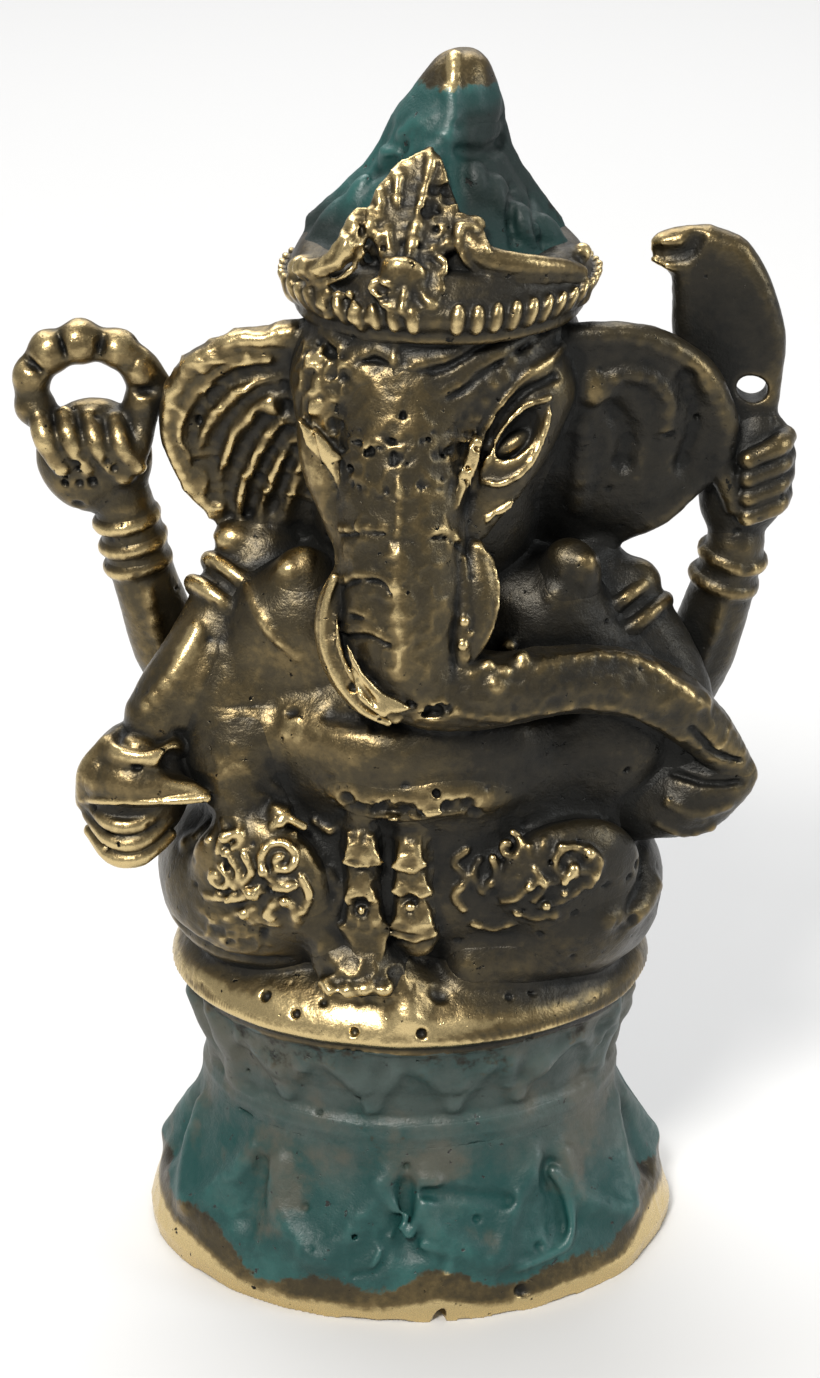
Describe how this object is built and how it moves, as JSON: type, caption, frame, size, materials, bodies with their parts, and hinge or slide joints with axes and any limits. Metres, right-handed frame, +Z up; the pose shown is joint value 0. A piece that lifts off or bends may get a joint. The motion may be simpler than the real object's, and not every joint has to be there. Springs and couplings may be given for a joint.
{
  "type": "seated deity statuette",
  "caption": "Cast brass statuette of a seated elephant-headed deity raising a noose and an axe, on a waisted oval pedestal with a flat foot, for display.",
  "frame": {"origin": "middle of the footprint, on the plane the foot rests on", "axes": "+Z up; the figure faces -Y; +X is the figure's own left (the right-hand side of a front view)"},
  "size_m": [0.061, 0.0362, 0.1],
  "materials": {
    "dark_patina_brass": "cast brass with a dark olive-brown patina in the hollows, rubbed bright on the high places",
    "polished_brass": "cast brass relief, rubbed bright, with dark patina left in the grooves and casting pits",
    "green_patina_brass": "cast brass under a teal-green patina, rubbed through to brass at the edges"
  },
  "bodies": {
    "root": {"base_bell": "green_patina_brass", "base_ring": "green_patina_brass", "base_collar": "green_patina_brass", "seat_slab": "polished_brass", "torso": "dark_patina_brass", "right_thigh": "dark_patina_brass", "left_thigh": "dark_patina_brass", "right_shin": "dark_patina_brass", "right_foot": "dark_patina_brass", "left_shin": "dark_patina_brass", "right_sash_fold": "polished_brass", "left_sash_fold": "polished_brass", "waist_belt": "polished_brass", "head": "dark_patina_brass", "trunk": "dark_patina_brass", "right_tusk": "polished_brass", "left_tusk": "polished_brass", "right_ear": "dark_patina_brass", "left_ear": "dark_patina_brass", "right_earring": "polished_brass", "left_earring": "polished_brass", "crown_band": "polished_brass", "crown_hair": "green_patina_brass", "crown_finial": "polished_brass", "crown_plaque": "polished_brass", "right_crown_leaf": "polished_brass", "left_crown_leaf": "polished_brass", "rear_right_arm": "dark_patina_brass", "rear_left_arm": "dark_patina_brass", "rear_right_hand": "dark_patina_brass", "rear_left_hand": "dark_patina_brass", "noose_loop": "polished_brass", "axe_blade": "dark_patina_brass", "front_right_arm": "dark_patina_brass", "front_left_arm": "dark_patina_brass", "front_right_hand": "dark_patina_brass", "front_left_hand": "dark_patina_brass", "broken_tusk": "polished_brass", "rear_right_bangles": "polished_brass", "rear_left_bangles": "polished_brass", "front_right_armlets": "polished_brass", "front_left_armlets": "polished_brass", "necklace": "polished_brass", "right_thigh_scroll": "polished_brass", "left_thigh_scroll": "polished_brass"}
  },
  "joints": []
}
